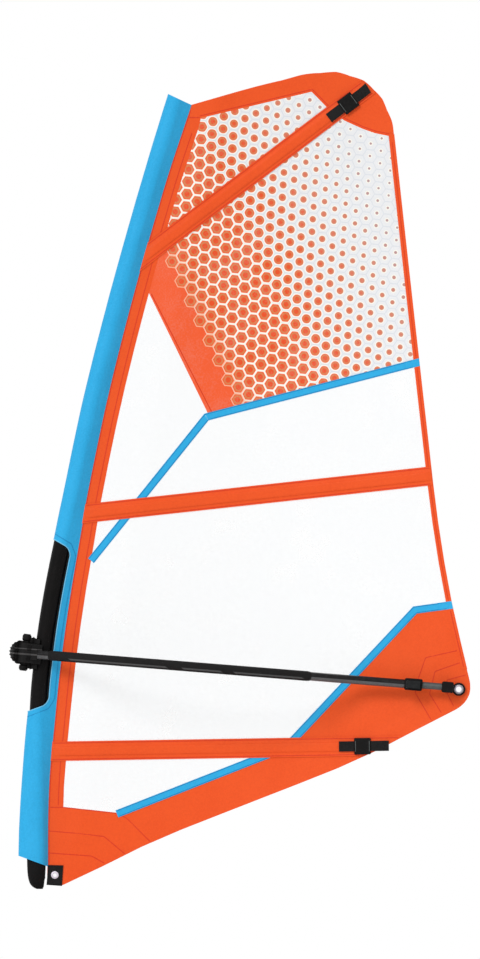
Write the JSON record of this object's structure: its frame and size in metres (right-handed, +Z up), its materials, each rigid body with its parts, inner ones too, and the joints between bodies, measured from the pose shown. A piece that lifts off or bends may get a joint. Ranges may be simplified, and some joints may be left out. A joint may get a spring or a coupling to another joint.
{
  "type": "windsurf rig",
  "caption": "Small child's windsurf rig: a curved mast in a luff sleeve, an orange, clear and honeycomb-printed sail with batten pockets, and a wishbone boom with clamps and a cam head.",
  "frame": {"origin": "middle of the flat under the mast boot", "axes": "+Z up from the mast's foot, +X aft from the luff towards the clew, port side at -Y"},
  "size_m": [0.9229, 0.2998, 1.6318],
  "materials": {
    "orange_cloth": "matt woven polyester",
    "blue_cloth": "matt woven polyester",
    "printed_cloth": "white film laminate with a printed honeycomb",
    "clear_film": "clear gloss film",
    "black_laminate": "satin black glass-fibre laminate",
    "black_rubber": "matt",
    "black_plastic": "fine moulded grain",
    "black_webbing": "ribbed woven webbing",
    "black_foam": "fine closed-cell grain",
    "black_anodised": "satin black anodised",
    "grey_anodised": "satin grey anodised",
    "stainless": "polished",
    "glass_fibre": "pale pultruded rod"
  },
  "bodies": {
    "rig": {"tack_panel": "orange_cloth", "foot_panel": "orange_cloth", "luff_panel": "orange_cloth", "head_panel": "orange_cloth", "leech_binding": "orange_cloth", "upper_batten_pocket": "orange_cloth", "middle_batten_pocket": "orange_cloth", "lower_batten_pocket": "orange_cloth", "luff_sleeve_lower": "blue_cloth", "luff_sleeve_upper": "blue_cloth", "sleeve_cutout_strip": "blue_cloth", "luff_seam_tape": "blue_cloth", "upper_seam_tape": "blue_cloth", "clew_seam_tape": "blue_cloth", "foot_seam_tape": "blue_cloth", "printed_panel_upper": "printed_cloth", "printed_panel_lower": "printed_cloth", "luff_window": "clear_film", "upper_window": "clear_film", "middle_window": "clear_film", "lower_window": "clear_film", "mast_lower_tube": "black_laminate", "mast_upper_tube": "black_laminate", "mast_foot_boot": "black_rubber", "mast_top_cap": "black_plastic", "upper_tension_buckle": "black_plastic", "lower_tension_buckle": "black_plastic", "port_clew_ring": "black_plastic", "starboard_clew_ring": "black_plastic", "port_cutout_binding": "black_webbing", "starboard_cutout_binding": "black_webbing", "tack_patch": "black_webbing", "tack_eyelet": "stainless", "clew_eyelet": "stainless", "upper_batten": "glass_fibre", "middle_batten": "glass_fibre", "lower_batten": "glass_fibre", "mast_ferrule": "glass_fibre"},
    "boom": {"boom_head_block": "black_plastic", "head_rubber_pad": "black_rubber", "head_rear_band": "black_webbing", "head_hinge_pin": "black_plastic", "head_pin_knob": "black_plastic", "port_arm": "black_anodised", "starboard_arm": "black_anodised", "port_grip": "black_foam", "starboard_grip": "black_foam", "port_clamp_collar": "black_plastic", "starboard_clamp_collar": "black_plastic", "port_lever_pin": "stainless", "starboard_lever_pin": "stainless"},
    "head_lever": {"head_cam_lever": "black_plastic"},
    "port_tail": {"port_tail_leg": "grey_anodised", "port_end_fitting": "black_plastic"},
    "starboard_tail": {"starboard_tail_leg": "grey_anodised", "starboard_end_fitting": "black_plastic"},
    "port_lever": {"port_clamp_lever": "black_plastic"},
    "starboard_lever": {"starboard_clamp_lever": "black_plastic"},
    "upper_strap": {"upper_tension_strap": "black_webbing"},
    "lower_strap": {"lower_tension_strap": "black_webbing"}
  },
  "joints": [
    {"name": "boom_height", "type": "slide", "parent": "rig", "child": "boom", "axis": [0.1214, 0, 0.9926], "range_m": [-0.035, 0.035]},
    {"name": "head_lever_hinge", "type": "hinge", "parent": "boom", "child": "head_lever", "pos_m": [-0.02919, 0, 0.47237], "axis": [0.1214, 0, 0.9926], "range_deg": [0, 50]},
    {"name": "port_tail_slide", "type": "slide", "parent": "boom", "child": "port_tail", "axis": [0.9968, 0, -0.0793], "range_m": [-0.037, 0]},
    {"name": "starboard_tail_slide", "type": "slide", "parent": "boom", "child": "starboard_tail", "axis": [0.9968, 0, -0.0793], "range_m": [-0.037, 0]},
    {"name": "port_lever_hinge", "type": "hinge", "parent": "boom", "child": "port_lever", "pos_m": [0.73504, -0.0399, 0.41003], "axis": [0.0793, 0, 0.9968], "range_deg": [-100, 0]},
    {"name": "starboard_lever_hinge", "type": "hinge", "parent": "boom", "child": "starboard_lever", "pos_m": [0.73504, 0.0399, 0.41003], "axis": [0.0793, 0, 0.9968], "range_deg": [0, 100]},
    {"name": "upper_strap_slide", "type": "slide", "parent": "rig", "child": "upper_strap", "axis": [0.7971, 0.0075, 0.6038], "range_m": [0, 0.015]},
    {"name": "lower_strap_slide", "type": "slide", "parent": "rig", "child": "lower_strap", "axis": [0.9976, -0.068, 0.016], "range_m": [0, 0.015]}
  ],
  "couplings": [
    {"joint": "starboard_tail_slide", "follows": "port_tail_slide", "ratio": 1}
  ]
}
